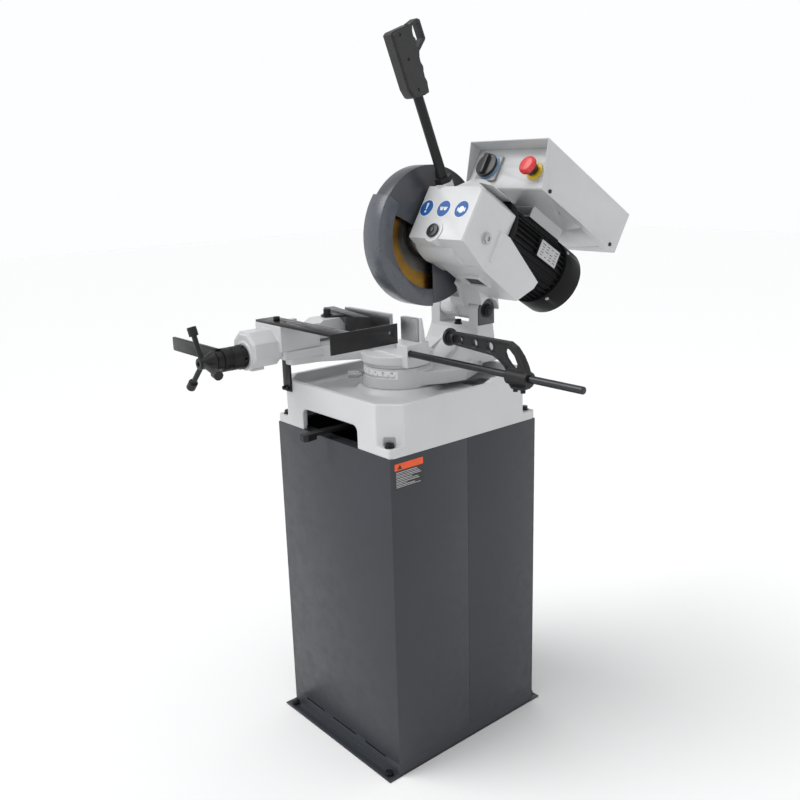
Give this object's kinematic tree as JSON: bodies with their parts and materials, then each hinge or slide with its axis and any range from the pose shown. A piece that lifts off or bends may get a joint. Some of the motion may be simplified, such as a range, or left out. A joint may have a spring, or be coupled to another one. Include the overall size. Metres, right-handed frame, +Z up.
{
  "type": "circular cold saw",
  "caption": "Manual pedestal cold saw: toothed disc in a swinging guard, geared motor head on a tilting pivot, swivelling base, screw vise, length stop bar and sheet-steel stand.",
  "frame": {"origin": "centre of the stand's footprint on the floor", "axes": "+Z up, -Y towards the operator, +X towards the gearbox side of the blade"},
  "size_m": [0.938, 0.993, 1.642],
  "materials": {
    "black_plastic": "matte",
    "black_steel": "satin",
    "blade_gold": "satin",
    "box_grey": "satin",
    "bronze": "satin",
    "cable_black": "matte",
    "casting_light": "satin",
    "cover_black": "satin",
    "grey_plastic": "satin",
    "guard_grey": "satin",
    "head_grey": "satin",
    "motor_black": "satin",
    "plate_dark": "satin",
    "red_plastic": "gloss",
    "sheet_dark": "satin",
    "steel": "satin",
    "yellow_plastic": "gloss"
  },
  "bodies": {
    "base": {"stand_front_shell": "sheet_dark", "stand_rear_shell": "sheet_dark", "stand_floor_tray": "sheet_dark", "stand_floor_bolts": "black_steel", "base_casting": "casting_light", "base_bolts": "black_steel", "drain_grate": "steel", "center_post": "steel", "vise_bed": "casting_light", "vise_body": "casting_light", "fixed_jaw_left": "steel", "fixed_jaw_right": "steel", "vise_socket_screws": "black_steel", "brace_strap": "black_steel", "burr_guard": "black_steel"},
    "lock_lever": {"swivel_lock_lever": "black_steel"},
    "swivel": {"swivel_arm": "casting_light", "pivot_shaft": "steel", "pivot_cover": "plate_dark", "pivot_nut": "black_steel", "depth_stop_screw": "black_steel", "return_spring": "steel"},
    "plunger": {"index_plunger": "steel"},
    "head": {"gearbox_housing": "head_grey", "gearbox_cover": "head_grey", "oil_cap": "black_plastic", "oil_plug": "steel", "fixed_guard": "guard_grey", "guard_cap": "steel", "motor_body": "motor_black", "motor_fan_cover": "cover_black", "motor_nameplate": "steel", "control_box": "box_grey", "control_panel": "box_grey", "switch_plate": "grey_plastic", "estop_ring": "yellow_plastic", "lever_tube": "black_steel", "lever_grip": "black_plastic", "lever_cable": "cable_black"},
    "blade": {"saw_blade": "blade_gold", "spindle": "steel", "worm_wheel": "bronze", "blade_flange": "steel", "blade_bolt": "steel"},
    "rotor": {"worm_shaft": "steel", "motor_fan": "black_plastic"},
    "guard": {"moving_guard": "guard_grey"},
    "estop": {"estop_button": "red_plastic"},
    "switch": {"rotary_switch": "black_plastic"},
    "trigger": {"trigger": "black_plastic"},
    "vise_jaw": {"vise_saddle": "casting_light", "jaw_bolt": "black_steel"},
    "jaw": {"movable_jaw": "black_steel"},
    "vise_wheel": {"vise_screw": "steel", "handwheel": "black_steel"},
    "clamp": {"clamp_sleeve": "black_steel", "clamp_lever_bar": "black_steel"},
    "stop_bar": {"stop_rod": "black_steel"},
    "stop_slide": {"stop_arm": "black_steel", "stop_clamp_screws": "black_steel"}
  },
  "joints": [
    {"name": "lock_lever_turn", "type": "hinge", "parent": "base", "child": "lock_lever", "pos_m": [0, -0.02, 0.78], "axis": [0, 0, 1], "range_deg": [-15, 15]},
    {"name": "swivel_turn", "type": "hinge", "parent": "base", "child": "swivel", "pos_m": [0, -0.02, 0.88], "axis": [0, 0, 1], "range_deg": [-45, 45]},
    {"name": "plunger_pull", "type": "slide", "parent": "swivel", "child": "plunger", "axis": [-0.5908, -0.8068, 0], "range_m": [0, 0.008], "stiffness_N_per_m": 800, "springref_m": -0.004},
    {"name": "head_tilt", "type": "hinge", "parent": "swivel", "child": "head", "pos_m": [0, 0.189, 1.008], "axis": [1, 0, 0], "range_deg": [0, 39], "stiffness_Nm_per_rad": 70, "springref_deg": -20.05},
    {"name": "blade_spin", "type": "hinge", "parent": "head", "child": "blade", "pos_m": [0, 0.07797, 1.18998], "axis": [1, 0, 0], "continuous": true},
    {"name": "rotor_spin", "type": "hinge", "parent": "head", "child": "rotor", "pos_m": [0.115, 0.2642, 1.13315], "axis": [0, 0.8572, -0.515], "continuous": true},
    {"name": "guard_swing", "type": "hinge", "parent": "head", "child": "guard", "pos_m": [0, 0.07797, 1.18998], "axis": [1, 0, 0], "range_deg": [-140.4, 0]},
    {"name": "estop_press", "type": "slide", "parent": "head", "child": "estop", "axis": [0, 0.8572, -0.515], "range_m": [0, 0.005], "stiffness_N_per_m": 900, "springref_m": -0.001},
    {"name": "switch_turn", "type": "hinge", "parent": "head", "child": "switch", "pos_m": [0.05, 0.2266, 1.3424], "axis": [0, 0.8572, -0.515], "range_deg": [-60, 60]},
    {"name": "trigger_press", "type": "slide", "parent": "head", "child": "trigger", "axis": [0, -1, 0], "range_m": [0, 0.003], "stiffness_N_per_m": 600, "springref_m": -0.001},
    {"name": "handwheel_turn", "type": "hinge", "parent": "base", "child": "vise_wheel", "pos_m": [-0.156, -0.44, 0.945], "axis": [0, 1, 0], "range_deg": [-3960, 720]},
    {"name": "vise_slide", "type": "slide", "parent": "base", "child": "vise_jaw", "axis": [0, 1, 0], "range_m": [-0.055, 0.01]},
    {"name": "jaw_pivot", "type": "hinge", "parent": "vise_jaw", "child": "jaw", "pos_m": [-0.156, -0.104, 0.99], "axis": [0, 0, 1], "range_deg": [-2, 12]},
    {"name": "clamp_turn", "type": "hinge", "parent": "base", "child": "clamp", "pos_m": [-0.156, -0.38, 0.945], "axis": [0, 1, 0], "range_deg": [-30, 60]},
    {"name": "stop_bar_turn", "type": "hinge", "parent": "base", "child": "stop_bar", "pos_m": [0.3, -0.055, 0.941], "axis": [1, 0, 0], "range_deg": [-90, 20]},
    {"name": "stop_slide", "type": "slide", "parent": "stop_bar", "child": "stop_slide", "axis": [1, 0, 0], "range_m": [-0.11, 0.12]}
  ],
  "couplings": [
    {"joint": "guard_swing", "follows": "head_tilt", "ratio": -3.6},
    {"joint": "rotor_spin", "follows": "blade_spin", "ratio": 30},
    {"joint": "vise_slide", "follows": "handwheel_turn", "m_per_rad": 0.00079577}
  ]
}
